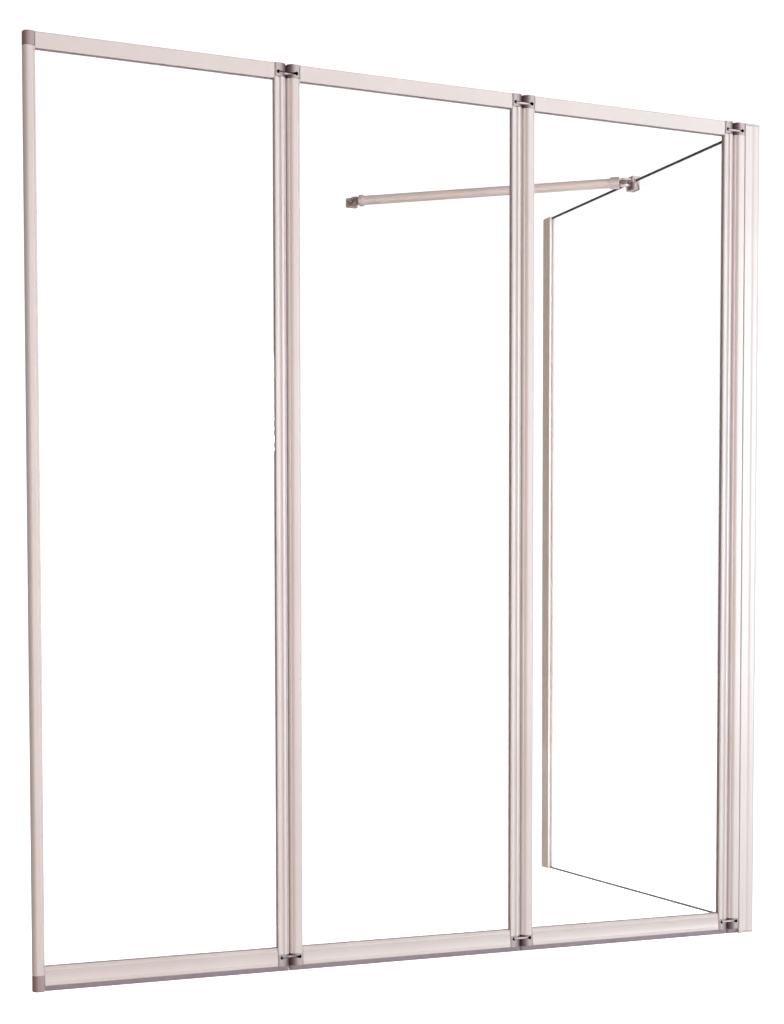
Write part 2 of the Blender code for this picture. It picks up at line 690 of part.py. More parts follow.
def post_chamber(clearance=0.0):
    """The hollow between the dovetail slot, the front and the glass channel."""
    left = -POST_HALF + 2 * POST_WALL + RIB_HEAD_LENGTH + 2 * SEAT + clearance
    right = POST_HALF - POST_WALL - clearance
    front = -POST_HALF + POST_WALL + POST_FLUTE_DEPTH + clearance
    back = POST_HALF - POST_CHANNEL_DEPTH - POST_WALL - clearance
    corner = POST_CORNER_RADIUS - POST_WALL
    return ([(left, front)] + arc((right - corner, front + corner), corner, 270, 360, NOSE_STEPS // 2)
            + [(right, back), (left, back)])


def post_face():
    """The post's outside without its slots, for the end caps."""
    half = POST_HALF
    edge = POST_EDGE_RADIUS
    corner = POST_CORNER_RADIUS
    return (arc((-half + edge, -half + edge), edge, 180, 270, SMALL_STEPS)
            + arc((half - corner, -half + corner), corner, 270, 360, NOSE_STEPS // 2)
            + arc((half - edge, half - edge), edge, 0, 90, SMALL_STEPS)
            + arc((-half + edge, half - edge), edge, 90, 180, SMALL_STEPS))


def make_post():
    low, high = POST_CAP + SEAT, HEIGHT - POST_CAP - SEAT
    finish(prism("corner_post", [post_outline(), post_chamber()], low, high, ALUMINIUM), "fixed")
    for name, cap_low, leg_low in (("post_foot", 0, POST_CAP - LEG_ROOT),
                                   ("post_top_cap", HEIGHT - POST_CAP, high - POST_CAP_LEG)):
        cap = prism(name, [post_face()], cap_low, cap_low + POST_CAP, BLOCK_PLASTIC)
        leg_high = leg_low + POST_CAP_LEG + LEG_ROOT
        leg = prism(name + "_leg", [post_chamber(SEAT)], leg_low, leg_high, BLOCK_PLASTIC)
        finish(join(cap, leg), "fixed")


def make_post_stile():
    """The stile that the first leaf hangs on, ribbed to slide down the post."""
    tip = HINGE_X[0] + NOSE_GAP / 2
    base = tip + STILE_WIDTH
    neck, head = RIB_NECK / 2, RIB_HEAD / 2
    neck_length = SEAT + POST_WALL + SEAT
    head_end = neck_length + RIB_HEAD_LENGTH
    rib = [(0, neck), (-neck_length, neck), (-neck_length, head), (-head_end, head), (-head_end, -head),
           (-neck_length, -head), (-neck_length, -neck), (0, -neck)]
    outline = stile_outline(False, False) + rib
    loops = [placed(points, base, LEAF_Y, True) for points in (outline, stile_core())]
    low = RAIL_BOTTOM + BLOCK_HEIGHT + SEAT
    high = HEIGHT - BLOCK_HEIGHT - SEAT
    finish(prism("post_hinge_stile", loops, low, high, ALUMINIUM), "fixed")
    for at_top in (True, False):
        name = "post_%s_block" % ("top" if at_top else "bottom")
        make_block(name, "fixed", tip, False, at_top, block_span(at_top), False, True)
    make_drip("post_drip_seal", "fixed", tip, base, True, False, None)


# Side glass, its gaskets and the wall profile

def make_side():
    half = SIDE_GLASS / 2
    post_floor = POST_HALF - POST_CHANNEL_DEPTH
    start = post_floor + SEAT + GASKET_FLOOR + SEAT
    mouth = WALL_Y - WALL_PROFILE_DEPTH
    end = mouth + WALL_PROFILE_OVERLAP
    finish(box("side_glass", (SIDE_GLASS_X - half, start, SIDE_GLASS_BOTTOM),
               (SIDE_GLASS_X + half, end, SIDE_GLASS_TOP), CLEAR_GLASS), "fixed")
    section = gasket_outline(SIDE_GLASS, POST_CHANNEL_DEPTH - SEAT)
    loops = [[(SIDE_GLASS_X + v, POST_HALF + u) for u, v in section]]
    finish(prism("post_gasket", loops, SIDE_GLASS_BOTTOM, SIDE_GLASS_TOP, SOFT_GREY), "fixed")

    outer = WALL_PROFILE_WIDTH / 2
    inner = outer - WALL_PROFILE_WALL
    back = WALL_Y - WALL_PROFILE_WALL
    radius = STILE_EDGE_RADIUS
    front = mouth + radius
    profile = (arc((-outer + radius, front), radius, 180, 270, SMALL_STEPS)
               + [(-inner, mouth), (-inner, back), (inner, back), (inner, mouth)]
               + arc((outer - radius, front), radius, 270, 360, SMALL_STEPS)
               + [(outer, WALL_Y), (-outer, WALL_Y)])
    low, high = SIDE_GLASS_BOTTOM - STEP_DEPTH, SIDE_GLASS_TOP + STEP_DEPTH
    wall = prism("wall_profile", [[(SIDE_GLASS_X + u, v) for u, v in profile]], low, high, ALUMINIUM)
    span = high - low - 2 * WALL_SCREW_END
    for step in range(WALL_SCREW_COUNT):
        z = low + WALL_SCREW_END + span * step / (WALL_SCREW_COUNT - 1)
        cut(wall, rod("hole", (SIDE_GLASS_X, back - OVERRUN, z), (SIDE_GLASS_X, WALL_Y + OVERRUN, z),
                      WALL_SCREW_RADIUS + SEAT, ALUMINIUM))
    finish(wall, "fixed")

    section = gasket_outline(SIDE_GLASS, WALL_PROFILE_OVERLAP + GASKET_FLOOR + SEAT, 2 * inner)
    loops = [[(SIDE_GLASS_X + v, mouth - u) for u, v in section]]
    finish(prism("wall_gasket", loops, SIDE_GLASS_BOTTOM, SIDE_GLASS_TOP, SOFT_GREY), "fixed")


# Stabiliser bar: turned into line with u along the bar from the clamp to the wall

def bar_frame(pivot, way):
    """Matrix that puts +X of a drawn piece along the bar, at a pivot."""
    angle = math.atan2(way[1], way[0])
    return Matrix.Translation((pivot[0], pivot[1], BAR_LEVEL)) @ Matrix.Rotation(angle, 4, "Z")


def make_socket(name, pivot, way, length, spec):
    """A cup over the end of the tube, with a flat tongue and a riveted pin at its swivel."""
    cup = rod(name, (SOCKET_START, 0, 0), (SOCKET_START + length, 0, 0), SOCKET_RADIUS, spec, ROUND_STEPS)
    tongue = prism(name + "_tongue", [arc((0, 0), TONGUE_WIDTH / 2, 90, 270, NOSE_STEPS // 2)
                                      + [(SOCKET_START + SOCKET_FLOOR / 2, -TONGUE_WIDTH / 2),
                                         (SOCKET_START + SOCKET_FLOOR / 2, TONGUE_WIDTH / 2)]],
                   -TONGUE_THICKNESS / 2, TONGUE_THICKNESS / 2, spec)
    join(cup, tongue)
    cut(cup, rod("bore", (SOCKET_START + SOCKET_FLOOR, 0, 0), (SOCKET_START + length + OVERRUN, 0, 0),
                 BAR_RADIUS + SEAT, spec, ROUND_STEPS))
    pin_half = TONGUE_THICKNESS / 2 + FORK_THICKNESS
    join(cup, rod("pin", (0, 0, -pin_half), (0, 0, pin_half), BAR_PIN_RADIUS, spec))
    hole_u = SOCKET_START + length * SET_SCREW_SHARE
    cut(cup, rod("set_screw_hole", (hole_u, 0, BAR_RADIUS), (hole_u, 0, SOCKET_RADIUS + OVERRUN),
                 SET_SCREW_RADIUS, spec))
    cup.data.transform(bar_frame(pivot, way))
    return finish(cup, "fixed")


def fork_plan(centre, reach_way):
    """Plan of a fork's ear: a round end at the pivot, square where it meets its block."""
    angle = math.degrees(math.atan2(reach_way[1], reach_way[0]))
    half = TONGUE_WIDTH / 2
    side = Vector((-reach_way[1], reach_way[0])) * half
    root = Vector(centre) + Vector(reach_way) * (KNUCKLE_REACH - BRACKET_PLATE / 2)
    return (arc(centre, half, angle + 90, angle + 270, NOSE_STEPS // 2)
            + [tuple(root - side), tuple(root + side)])


def make_bar():
    way = Vector((-math.cos(BAR_ANGLE), math.sin(BAR_ANGLE)))
    near = Vector((SIDE_GLASS_X - KNUCKLE_REACH, CLAMP_Y))
    run = (WALL_Y - KNUCKLE_REACH - near.y) / way.y
    far = near + way * run
    make_socket("bar_glass_socket", near, way, SOCKET_GLASS_LENGTH, FITTING_METAL)
    make_socket("bar_wall_socket", far, -way, SOCKET_WALL_LENGTH, FITTING_METAL)

    inset = SOCKET_START + SOCKET_FLOOR + SEAT
    tube = rod("stabiliser_bar", (inset, 0, 0), (run - inset, 0, 0), BAR_RADIUS, BAR_METAL, ROUND_STEPS)
    cut(tube, rod("bore", (inset - OVERRUN, 0, 0), (run - inset + OVERRUN, 0, 0), BAR_RADIUS - BAR_WALL,
                  BAR_METAL, ROUND_STEPS))
    tube.data.transform(bar_frame(near, way))
    finish(tube, "fixed")

    ears = TONGUE_THICKNESS / 2 + SEAT
    ear_span = ears + FORK_THICKNESS

    # Wall bracket: a plate on the wall with two ears
    face = rounded_rectangle((far.x - BRACKET_WIDTH / 2, BAR_LEVEL - BRACKET_HEIGHT / 2),
                             (far.x + BRACKET_WIDTH / 2, BAR_LEVEL + BRACKET_HEIGHT / 2), BRACKET_CORNER)
    plate = prism("wall_bracket", [face], -WALL_Y, BRACKET_PLATE - WALL_Y, FITTING_METAL)
    plate.data.transform(Matrix.Rotation(math.radians(90), 4, "X"))
    for side in (-1, 1):
        low = BAR_LEVEL + (ears if side > 0 else -ear_span)
        ear = prism("ear", [fork_plan(far, Vector((0, 1)))], low, low + FORK_THICKNESS, FITTING_METAL)
        join(plate, ear)
    cut(plate, rod("pin_hole", (far.x, far.y, BAR_LEVEL - ear_span - OVERRUN),
                   (far.x, far.y, BAR_LEVEL + ear_span + OVERRUN), BAR_PIN_RADIUS + SEAT, FITTING_METAL))
    seat_y = WALL_Y - BRACKET_PLATE
    for side in (-1, 1):
        x = far.x + side * BRACKET_SCREW_OFFSET
        cut(plate, rod("hole", (x, seat_y - OVERRUN, BAR_LEVEL), (x, WALL_Y + OVERRUN, BAR_LEVEL),
                       WALL_SCREW_RADIUS + SEAT, FITTING_METAL))
    finish(plate, "fixed")

    # Clamp: a saddle over the glass, with ears on the bath side
    half = SIDE_GLASS / 2 + SEAT + CLAMP_PAD + SEAT
    outer = half + CLAMP_JAW
    top = SIDE_GLASS_TOP + SEAT + CLAMP_PAD + SEAT + CLAMP_BRIDGE
    saddle = [(-outer, CLAMP_BOTTOM), (-half, CLAMP_BOTTOM), (-half, top - CLAMP_BRIDGE),
              (half, top - CLAMP_BRIDGE), (half, CLAMP_BOTTOM), (outer, CLAMP_BOTTOM),
              (outer, top), (-outer, top)]
    clamp = prism("glass_clamp", [[(SIDE_GLASS_X + x, z) for x, z in saddle]], -CLAMP_Y - CLAMP_WIDTH / 2,
                  -CLAMP_Y + CLAMP_WIDTH / 2, FITTING_METAL)
    clamp.data.transform(Matrix.Rotation(math.radians(90), 4, "X"))
    for side in (-1, 1):
        low = BAR_LEVEL + (ears if side > 0 else -ear_span)
        plan = arc((near.x, near.y), TONGUE_WIDTH / 2, 90, 270, NOSE_STEPS // 2)
        root = SIDE_GLASS_X - half - CLAMP_JAW / 2
        plan += [(root, near.y - TONGUE_WIDTH / 2), (root, near.y + TONGUE_WIDTH / 2)]
        join(clamp, prism("ear", [plan], low, low + FORK_THICKNESS, FITTING_METAL))
    cut(clamp, rod("pin_hole", (near.x, near.y, BAR_LEVEL - ear_span - OVERRUN),
                   (near.x, near.y, BAR_LEVEL + ear_span + OVERRUN), BAR_PIN_RADIUS + SEAT, FITTING_METAL))
    screw_z = CLAMP_BOTTOM + CLAMP_SCREW_RISE
    right = SIDE_GLASS_X + outer
    cut(clamp, rod("hole", (SIDE_GLASS_X + half - OVERRUN, CLAMP_Y, screw_z),
                   (right + OVERRUN, CLAMP_Y, screw_z), CLAMP_SCREW_RADIUS + SEAT, FITTING_METAL))
    finish(clamp, "fixed")

    pad_out = SIDE_GLASS / 2 + SEAT + CLAMP_PAD
    pad_in = SIDE_GLASS / 2 + SEAT
    pad_top = SIDE_GLASS_TOP + SEAT + CLAMP_PAD
    pad = [(-pad_out, CLAMP_BOTTOM), (-pad_in, CLAMP_BOTTOM), (-pad_in, pad_top - CLAMP_PAD),
           (pad_in, pad_top - CLAMP_PAD), (pad_in, CLAMP_BOTTOM), (pad_out, CLAMP_BOTTOM),
           (pad_out, pad_top), (-pad_out, pad_top)]
    liner = prism("clamp_pad", [[(SIDE_GLASS_X + x, z) for x, z in pad]], -CLAMP_Y - CLAMP_WIDTH / 2,
                  -CLAMP_Y + CLAMP_WIDTH / 2, SOFT_GREY)
    liner.data.transform(Matrix.Rotation(math.radians(90), 4, "X"))
    finish(liner, "fixed")

    head = rod("clamp_screw", (right + SEAT, CLAMP_Y, screw_z),
               (right + SEAT + CLAMP_SCREW_HEAD, CLAMP_Y, screw_z), CLAMP_SCREW_HEAD_RADIUS, STEEL)
    shank = rod("shank", (SIDE_GLASS_X + half, CLAMP_Y, screw_z),
                (right + CLAMP_SCREW_HEAD / 2, CLAMP_Y, screw_z), CLAMP_SCREW_RADIUS, STEEL)
    finish(join(head, shank), "fixed")


def main():
    clear_scene()
    make_bodies()
    make_post()
    make_post_stile()
    for number, hinge_x in enumerate(HINGE_X, 1):
        make_links(number, hinge_x, FOLDS_FRONT[number - 1])
        make_leaf(number)
    make_side()
    make_bar()


main()
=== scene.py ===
import json
import math

import bmesh
import bpy
from mathutils import Matrix, Vector


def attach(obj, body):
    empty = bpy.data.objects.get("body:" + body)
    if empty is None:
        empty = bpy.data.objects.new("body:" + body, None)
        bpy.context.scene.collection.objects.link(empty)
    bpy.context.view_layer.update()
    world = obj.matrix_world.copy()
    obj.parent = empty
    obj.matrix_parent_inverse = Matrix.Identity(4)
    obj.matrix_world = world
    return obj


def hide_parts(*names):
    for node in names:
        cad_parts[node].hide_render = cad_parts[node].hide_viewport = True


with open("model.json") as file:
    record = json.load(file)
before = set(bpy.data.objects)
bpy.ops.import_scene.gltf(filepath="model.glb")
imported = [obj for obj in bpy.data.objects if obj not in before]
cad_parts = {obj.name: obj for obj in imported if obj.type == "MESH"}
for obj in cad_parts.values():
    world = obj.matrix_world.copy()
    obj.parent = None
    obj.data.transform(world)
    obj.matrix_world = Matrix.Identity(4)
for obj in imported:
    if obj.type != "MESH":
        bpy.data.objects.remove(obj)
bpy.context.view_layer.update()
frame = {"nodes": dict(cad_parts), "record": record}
nodes = frame["nodes"]
print("frame loaded")


# Camera at the photograph's viewpoint

view = {
    "place": (-1.7454, -2.5535, 0.5523),
    "yaw": 22.852,        # degrees from +Y towards +X
    "pitch": -2.702,
    "roll": -0.067,
    "focalPixels": 1729.0,
    "imageHeight": 1024,
    "sensor": 36.0,
    "shiftUp": 0.1834,
    "near": 0.05,
    "far": 60.0,
}


def makeCamera():
    yaw, pitch, roll = (math.radians(view[name]) for name in ("yaw", "pitch", "roll"))
    forward = Vector((math.sin(yaw) * math.cos(pitch), math.cos(yaw) * math.cos(pitch), math.sin(pitch)))
    right = Vector((math.cos(yaw), -math.sin(yaw), 0))
    up = right.cross(forward)
    rolledRight = right * math.cos(roll) + up * math.sin(roll)
    rolledUp = up * math.cos(roll) - right * math.sin(roll)
    data = bpy.data.cameras.new("photoView")
    data.sensor_width = view["sensor"]
    data.lens = view["sensor"] * view["focalPixels"] / view["imageHeight"]
    data.shift_y = view["shiftUp"]
    data.clip_start = view["near"]
    data.clip_end = view["far"]
    camera = bpy.data.objects.new("photoView", data)
    bpy.context.scene.collection.objects.link(camera)
    turn = Matrix((rolledRight, rolledUp, -forward)).transposed()
    camera.matrix_world = Matrix.Translation(view["place"]) @ turn.to_4x4()
    bpy.context.scene.camera = camera


makeCamera()
bpy.context.scene.view_settings.view_transform = "Standard"
print("camera placed")


# Node helpers for the materials

# Where a noise pattern is spread out, and each relief's strength and depth in metres
ramps = {"noiseLow": 0.3, "noiseHigh": 0.7, "firstAt": 0.35, "secondAt": 0.65}
relief = {"lines": (0.25, 0.00002), "grain": (0.15, 0.00002), "plastic": (0.20, 0.00003)}


def newMaterial(name):
    made = bpy.data.materials.new(name)
    made.use_nodes = True
    return made, made.node_tree, made.node_tree.nodes["Principled BSDF"]


def objectVector(tree, scale=(1, 1, 1), turn=0.0):
    coordinates = tree.nodes.new("ShaderNodeTexCoord")
    mapping = tree.nodes.new("ShaderNodeMapping")
    mapping.vector_type = "TEXTURE" if turn else "POINT"
    mapping.inputs["Scale"].default_value = [1 / part for part in scale] if turn else scale
    mapping.inputs["Rotation"].default_value = (0, 0, turn)
    tree.links.new(coordinates.outputs["Object"], mapping.inputs["Vector"])
    return mapping.outputs["Vector"]


def noise(tree, vector, scale, detail):
    made = tree.nodes.new("ShaderNodeTexNoise")
    made.inputs["Scale"].default_value = scale
    made.inputs["Detail"].default_value = detail
    tree.links.new(vector, made.inputs["Vector"])
    return made.outputs["Fac"]


def spread(tree, fac, low, high):
    made = tree.nodes.new("ShaderNodeMapRange")
    made.inputs["From Min"].default_value = ramps["noiseLow"]
    made.inputs["From Max"].default_value = ramps["noiseHigh"]
    made.inputs["To Min"].default_value = low
    made.inputs["To Max"].default_value = high
    tree.links.new(fac, made.inputs["Value"])
    return made.outputs["Result"]


def twoColours(tree, fac, first, second):
    made = tree.nodes.new("ShaderNodeValToRGB")
    made.color_ramp.elements[0].position = ramps["firstAt"]
    made.color_ramp.elements[1].position = ramps["secondAt"]
    made.color_ramp.elements[0].color = (*first, 1)
    made.color_ramp.elements[1].color = (*second, 1)
    tree.links.new(fac, made.inputs["Fac"])
    return made.outputs["Color"]


def bump(tree, shader, height, kind):
    strength, distance = relief[kind]
    made = tree.nodes.new("ShaderNodeBump")
    made.inputs["Strength"].default_value = strength
    made.inputs["Distance"].default_value = distance
    tree.links.new(height, made.inputs["Height"])
    tree.links.new(made.outputs["Normal"], shader.inputs["Normal"])


# Materials: pairs are a finish's two colours or its lowest and highest roughness

anodised = {
    "pale": (0.83, 0.745, 0.715),
    "rosy": (0.80, 0.705, 0.67),
    "metal": 0.15,
    "grain": 9000,        # fine lines across the extrusion, per metre
    "drawn": 0.004,       # their scale along the extrusion
    "cloud": 5,
    "smooth": (0.40, 0.52),
}


def makeAnodised(name, along, pale=anodised["pale"], rosy=anodised["rosy"], turn=0.0):
    made, tree, shader = newMaterial(name)
    drawn = tuple(anodised["drawn"] if axis == along else 1 for axis in "XYZ")
    lines = noise(tree, objectVector(tree, drawn, turn), anodised["grain"], 3)
    clouds = noise(tree, objectVector(tree), anodised["cloud"], 3)
    tree.links.new(twoColours(tree, clouds, rosy, pale), shader.inputs["Base Color"])
    tree.links.new(spread(tree, lines, *anodised["smooth"]), shader.inputs["Roughness"])
    shader.inputs["Metallic"].default_value = anodised["metal"]
    bump(tree, shader, lines, "lines")
    return made


plastic = {"grain": 2600, "cloud": 60, "smooth": (0.38, 0.50)}


def makePlastic(name, dark, light, smooth=plastic["smooth"]):
    made, tree, shader = newMaterial(name)
    vector = objectVector(tree)
    grain = noise(tree, vector, plastic["grain"], 2)
    clouds = noise(tree, vector, plastic["cloud"], 3)
    tree.links.new(twoColours(tree, clouds, dark, light), shader.inputs["Base Color"])
    tree.links.new(spread(tree, grain, *smooth), shader.inputs["Roughness"])
    bump(tree, shader, grain, "plastic")
    return made


castMetal = {"grain": 1500, "cloud": 75, "smooth": (0.28, 0.40), "shine": 0.5}


def makeMetal(name, dark, light, metal, smooth=castMetal["smooth"], shine=castMetal["shine"]):
    made, tree, shader = newMaterial(name)
    vector = objectVector(tree)
    grain = noise(tree, vector, castMetal["grain"], 3)
    clouds = noise(tree, vector, castMetal["cloud"], 3)
    tree.links.new(twoColours(tree, clouds, dark, light), shader.inputs["Base Color"])
    tree.links.new(spread(tree, grain, *smooth), shader.inputs["Roughness"])
    shader.inputs["Metallic"].default_value = metal
    shader.inputs["Specular IOR Level"].default_value = shine
    bump(tree, shader, grain, "grain")
    return made


clearPane = {"colour": (0.998, 1.0, 0.999, 1), "shadow": (0.96, 0.98, 0.97, 1), "bends": 1.5, "smears": 6,
             "smooth": (0.0, 0.006)}


def makeGlass(name):
    made, tree, shader = newMaterial(name)
    smears = noise(tree, objectVector(tree), clearPane["smears"], 4)
    shader.inputs["Base Color"].default_value = clearPane["colour"]
    shader.inputs["IOR"].default_value = clearPane["bends"]
    shader.inputs["Transmission Weight"].default_value = 1.0
    tree.links.new(spread(tree, smears, *clearPane["smooth"]), shader.inputs["Roughness"])
    path = tree.nodes.new("ShaderNodeLightPath")
    clear = tree.nodes.new("ShaderNodeBsdfTransparent")
    clear.inputs["Color"].default_value = clearPane["shadow"]
    mix = tree.nodes.new("ShaderNodeMixShader")
    tree.links.new(path.outputs["Is Shadow Ray"], mix.inputs[0])
    tree.links.new(shader.outputs[0], mix.inputs[1])
    tree.links.new(clear.outputs[0], mix.inputs[2])
    tree.links.new(mix.outputs[0], tree.nodes["Material Output"].inputs["Surface"])
    return made


# Corner blocks and caps carry painted shade, dark at the nose and fading to pale towards the glass; blocks
# also get a painted near-black disc of shade at each end of a link, where its hole is
corner = {
    "firstHinge": -0.0373, "pitch": 0.4055, "paintedShadeTo": 0.0030, "paintedShadeGoneAt": 0.0150,
    # painted shade: the nose colours are the shaded ends, the side colours the pale ends
    "nose": (0.170, 0.110, 0.120), "side": (0.60, 0.51, 0.505),
    "capNoseShade": (0.38, 0.22, 0.195), "capSide": (0.50, 0.415, 0.41),
    # painted shade: these entries place and colour a near-black disc standing for the dark hole at each link
    # end
    "holeShadeFromHinge": 0.0147, "middle": 0.70415, "linkRise": 0.6821, "holeShadeRadius": 0.0028,
    "hole": (0.010, 0.006, 0.007), "shine": 0.5, "metal": 0.25, "grain": 2600, "smooth": (0.30, 0.42),
}


def calculate(tree, operation, *values):
    made = tree.nodes.new("ShaderNodeMath")
    made.operation = operation
    for socket, value in zip(made.inputs, values):
        if isinstance(value, (int, float)):
            socket.default_value = value
        else:
            tree.links.new(value, socket)
    return made.outputs[0]


def mixed(tree, fac, first, second):
    made = tree.nodes.new("ShaderNodeMix")
    made.data_type = "RGBA"
    tree.links.new(fac, made.inputs[0])
    for socket, value in ((made.inputs[6], first), (made.inputs[7], second)):
        if isinstance(value, tuple):
            socket.default_value = (*value, 1)
        else:
            tree.links.new(value, socket)
    return made.outputs[2]


def makeCorner(name, nose, side, paintedHoleShade):
    made, tree, shader = newMaterial(name)
    vector = objectVector(tree)
    parts = tree.nodes.new("ShaderNodeSeparateXYZ")
    tree.links.new(vector, parts.inputs[0])
    half = corner["pitch"] / 2
    fromFirst = calculate(tree, "SUBTRACT", parts.outputs["X"], corner["firstHinge"])
    away = calculate(tree, "ABSOLUTE", calculate(tree, "WRAP", fromFirst, half, -half))
    # painted shade: the colour darkens towards each hinge's nose
    paintedShadeFade = tree.nodes.new("ShaderNodeMapRange")
    paintedShadeFade.interpolation_type = "SMOOTHSTEP"
    paintedShadeFade.inputs["From Min"].default_value = corner["paintedShadeTo"]
    paintedShadeFade.inputs["From Max"].default_value = corner["paintedShadeGoneAt"]
    tree.links.new(away, paintedShadeFade.inputs["Value"])
    colour = mixed(tree, paintedShadeFade.outputs["Result"], nose, side)
    # painted shade: a near-black disc with less shine at each end of a link stands for its dark hole
    if paintedHoleShade:
        across = calculate(tree, "SUBTRACT", away, corner["holeShadeFromHinge"])
        rise = calculate(tree, "ABSOLUTE", calculate(tree, "SUBTRACT", parts.outputs["Z"], corner["middle"]))
        up = calculate(tree, "SUBTRACT", rise, corner["linkRise"])
        reach = calculate(tree, "SQRT", calculate(tree, "ADD", calculate(tree, "MULTIPLY", across, across),
                                                  calculate(tree, "MULTIPLY", up, up)))
        inside = calculate(tree, "LESS_THAN", reach, corner["holeShadeRadius"])
        colour = mixed(tree, inside, colour, corner["hole"])
        shine = calculate(tree, "MULTIPLY", calculate(tree, "SUBTRACT", 1.0, inside), corner["shine"])
        tree.links.new(shine, shader.inputs["Specular IOR Level"])
    tree.links.new(colour, shader.inputs["Base Color"])
    grain = noise(tree, vector, corner["grain"], 2)
    tree.links.new(spread(tree, grain, *corner["smooth"]), shader.inputs["Roughness"])
    shader.inputs["Metallic"].default_value = corner["metal"]
    bump(tree, shader, grain, "grain")
    return made


# A fitting is pale, and dark within reach of a centre: on the clamp this is painted shade over its lower jaw,
# and on the sockets the colour is simply darker near the swivel
knuckle = {"pale": (0.64, 0.52, 0.49), "dark": (0.17, 0.095, 0.080), "soft": 0.0010, "metal": 0.3,
           "smooth": (0.30, 0.42), "reach": {"near": 0.0100, "clampShade": 0.0130, "far": 0.0100}}
swivels = {
    "near": (-0.0270, 0.3760, 1.3880),
    # the clamp's centre is no swivel: it places the painted shade on the clamp's lower jaw
    "clampShade": (-0.0080, 0.3700, 1.3770),
    "far": (-0.44878, 0.7115, 1.3880),
}


def makeKnuckleMetal(name, swivel):
    made, tree, shader = newMaterial(name)
    reach = knuckle["reach"][swivel]
    vector = objectVector(tree)
    distance = tree.nodes.new("ShaderNodeVectorMath")
    distance.operation = "DISTANCE"
    distance.inputs[1].default_value = swivels[swivel]
    tree.links.new(vector, distance.inputs[0])
    away = tree.nodes.new("ShaderNodeMapRange")
    away.inputs["From Min"].default_value = reach
    away.inputs["From Max"].default_value = reach + knuckle["soft"]
    tree.links.new(distance.outputs["Value"], away.inputs["Value"])
    tree.links.new(twoColours(tree, away.outputs["Result"], knuckle["dark"], knuckle["pale"]),
                   shader.inputs["Base Color"])
    grain = noise(tree, vector, castMetal["grain"], 3)
    tree.links.new(spread(tree, grain, *knuckle["smooth"]), shader.inputs["Roughness"])
    shader.inputs["Metallic"].default_value = knuckle["metal"]
    bump(tree, shader, grain, "grain")
    return made


barAngle = math.radians(38.5)         # between the bar and the leaves, seen from above
finishes = {
    "upright": makeAnodised("anodisedUpright", "Z"),
    "rail": makeAnodised("anodisedRail", "X"),
    "bar": makeAnodised("anodisedBar", "Y", (0.76, 0.63, 0.58), (0.70, 0.57, 0.52), -barAngle),
    # blocks and end caps get painted shade towards the nose; blocks also get painted dark discs at the link
    # holes
    "block": makeCorner("hingeCornerPaintedShade", corner["nose"], corner["side"], True),
    "cap": makeCorner("endCapPaintedShade", corner["capNoseShade"], corner["capSide"], False),
    "postCap": makePlastic("postCap", (0.66, 0.58, 0.57), (0.72, 0.64, 0.63)),
    "link": makeMetal("linkMetal", (0.80, 0.71, 0.69), (0.86, 0.77, 0.75), 0.2),
    "steel": makeMetal("screwSteel", (0.50, 0.48, 0.47), (0.60, 0.58, 0.57), 1.0, (0.2, 0.32)),
    # painted light: the profile's anodising is made paler than the stiles' to make up for the shade on its
    # left face
    "profile": makeAnodised("anodisedProfilePaintedLight", "Z", (0.92, 0.74, 0.63), (0.86, 0.69, 0.58)),
    "bracket": makeMetal("roseBracket", (0.38, 0.265, 0.23), (0.48, 0.35, 0.31), 0.3),
    "wallSocket": makeKnuckleMetal("wallSocketMetal", "far"),
    "socket": makeKnuckleMetal("glassSocketMetal", "near"),
    # painted shade on the clamp's lower jaw
    "clamp": makeKnuckleMetal("clampPaintedShadeMetal", "clampShade"),
    # painted shade: opaque dark bands standing for the side glass's edges seen through the pane
    "edge": makeMetal("glassEdgeShade", (0.002, 0.003, 0.003), (0.004, 0.005, 0.005), 0.0, (0.5, 0.6), 0.0),
    "lowerEdgeShade": makeMetal("lowerGlassEdgeShade", (0.05, 0.08, 0.065), (0.08, 0.11, 0.095), 0.0, (0.5, 0.6), 0.0),
    "gasket": makePlastic("gasketRubber", (0.30, 0.25, 0.26), (0.34, 0.28, 0.29), (0.5, 0.65)),
    "seal": makePlastic("softSeal", (0.62, 0.53, 0.525), (0.68, 0.59, 0.585), (0.5, 0.65)),
    "drip": makePlastic("dripSeal", (0.34, 0.28, 0.31), (0.38, 0.32, 0.35), (0.45, 0.6)),
    "glass": makeGlass("clearGlass"),
}
print("materials made")


# Finishes on the frame's own pieces: the first ending that fits a name is used

endings = (
    ("_link", "link"), ("_block", "block"), ("post_top_cap", "postCap"), ("post_foot", "postCap"),
    ("_cap", "cap"), ("_drip_seal", "drip"), ("_seal", "seal"), ("wall_gasket", "seal"),
    ("_gasket", "gasket"), ("_pad", "seal"), ("_glass", "glass"), ("_rail", "rail"), ("_screw", "steel"),
    ("wall_socket", "wallSocket"), ("_socket", "socket"), ("_bracket", "bracket"), ("_clamp", "clamp"),
    ("_bar", "bar"), ("_stile", "upright"), ("_post", "upright"), ("_profile", "profile"),
)
bodyOf = {name: body for body, names in frame["record"]["behaviour"]["bodies"].items() for name in names}
dressing = {
    "weld": 0.000001,
    "flat": math.radians(1),
    "sharp": math.radians(38),
    "roundings": {"block": 0.00028, "cap": 0.0008, "postCap": 0.0004, "upright": 0.0003, "rail": 0.00025,
                  "link": 0.0003, "drip": 0.0002, "seal": 0.0002, "wallSocket": 0.0004, "socket": 0.0004,
                  "clamp": 0.0005, "bracket": 0.0006, "profile": 0.0003, "steel": 0.0003, "bar": 0.0003,
                  "glass": 0.0003},
    "steps": 3,
}


